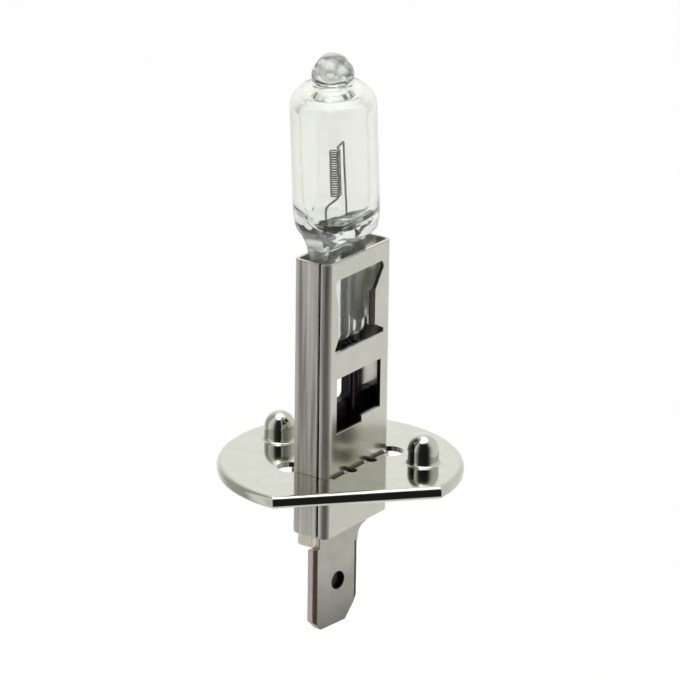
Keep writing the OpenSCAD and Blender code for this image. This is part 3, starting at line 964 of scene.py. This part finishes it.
# Brightness of the studio's walls by the angle from straight in front, to the right
WALLS = (
    (-180, 1.14), (-150, 0.95), (-125, 0.5), (-97, 0.42), (-88, 0.9), (-76, 0.98), (-68, 0.72),
    (-60, 0.9), (-50, 0.55), (-42, 0.25), (-30, 0.03), (0, 0.015), (35, 0.02), (47, 0.2),
    (60, 0.55), (80, 0.82), (112, 0.86), (150, 0.9), (180, 1.14),
)

# Share of the roof over the walls, and the roof's own brightness, from straight down (0)
# to straight up (1)
ROOF_SHARE = ((0.08, 1), (0.2, 0), (0.91, 0), (0.975, 1))
ROOF = ((0.0, 0.95), (0.3, 0.95), (0.93, 1.9), (1.0, 3.1))


def add_world():
    """Bright studio all round, with a soft dark opening in front of the object."""
    world = bpy.data.worlds.new("studio")
    bpy.context.scene.world = world
    world.use_nodes = True
    nodes, links = world.node_tree.nodes, world.node_tree.links

    def math_node(operation, a, b=None, clamp=False):
        node = nodes.new("ShaderNodeMath")
        node.operation = operation
        node.use_clamp = clamp
        for socket, value in zip(node.inputs, (a, b)):
            if isinstance(value, (int, float)):
                socket.default_value = value
            elif value is not None:
                links.new(value, socket)
        return node.outputs[0]

    def along(axis):
        node = nodes.new("ShaderNodeVectorMath")
        node.operation = "DOT_PRODUCT"
        links.new(coordinates.outputs["Generated"], node.inputs[0])
        node.inputs[1].default_value = axis
        return node.outputs["Value"]

    def ramp(value, stops):
        node = nodes.new("ShaderNodeValToRGB")
        elements = node.color_ramp.elements
        for place, _ in stops[2:]:
            elements.new(place)
        for element, (place, level) in zip(elements, stops):
            element.position = place
            element.color = (level, level, level, 1)
        links.new(value, node.inputs["Fac"])
        return node.outputs["Color"]

    coordinates = nodes.new("ShaderNodeTexCoord")
    azimuth = math.radians(CAMERA_AZIMUTH)
    right = along((math.cos(azimuth), math.sin(azimuth), 0))
    front = along((math.sin(azimuth), -math.cos(azimuth), 0))
    turn = math_node("ARCTAN2", right, front)
    share = math_node("MULTIPLY_ADD", turn, 0.5 / math.pi)
    share.node.inputs[2].default_value = 0.5
    walls = ramp(share, [((angle + 180) / 360, level) for angle, level in WALLS])
    height = along((0, 0, 1))
    above = math_node("MULTIPLY_ADD", height, 0.5)
    above.node.inputs[2].default_value = 0.5
    roof_share = ramp(above, ROOF_SHARE)
    roof = ramp(above, ROOF)
    mix = nodes.new("ShaderNodeMix")
    mix.data_type = "RGBA"
    links.new(roof_share, mix.inputs["Factor"])
    links.new(walls, mix.inputs[6])
    links.new(roof, mix.inputs[7])
    background = nodes["Background"]
    background.inputs["Strength"].default_value = 1.0
    links.new(mix.outputs[2], background.inputs["Color"])


def add_light(name, place, target, size, power):
    """Soft rectangular lamp that faces a target, in metres."""
    lamp = bpy.data.lights.new(name, "AREA")
    lamp.shape = "RECTANGLE"
    lamp.size, lamp.size_y = size
    lamp.energy = power
    rig = bpy.data.objects.new(name, lamp)
    rig.location = place
    rig.rotation_euler = (Vector(target) - Vector(place)).to_track_quat("-Z", "Y").to_euler()
    bpy.context.scene.collection.objects.link(rig)


def add_floor(material):
    """Plain floor, which the object's bright metal doesn't mirror."""
    corners = ((-1, -1), (1, -1), (1, 1), (-1, 1))
    points = [(sx * FLOOR_HALF, sy * FLOOR_HALF, FLOOR_Z) for sx, sy in corners]
    mesh = bpy.data.meshes.new("floor")
    mesh.from_pydata(points, [], [(0, 1, 2, 3)])
    mesh.materials.append(material)
    floor = bpy.data.objects.new("floor", mesh)
    bpy.context.scene.collection.objects.link(floor)
    floor.visible_glossy = False


# ---------------------------------------------------------------- the scene

bpy.context.scene.view_settings.view_transform = "Standard"
add_camera()
add_world()
add_light("overhead_softbox", (-0.12, -0.16, 0.45), (0, 0, 0.01), (0.10, 0.07), 0.12)
add_floor(floor_paper())

lead_metal = wire_metal("lead_wire", (0.30, 0.29, 0.28), (0.20, 0.195, 0.19), 0.25)
tungsten = wire_metal("tungsten", (0.24, 0.24, 0.235), (0.14, 0.14, 0.135), 0.3)
add_disc()
add_sleeve()
add_ceramic()
add_yoke()
add_blade()
add_glass()
add_coil(tungsten)
add_leads(lead_metal)
dress_nodes()
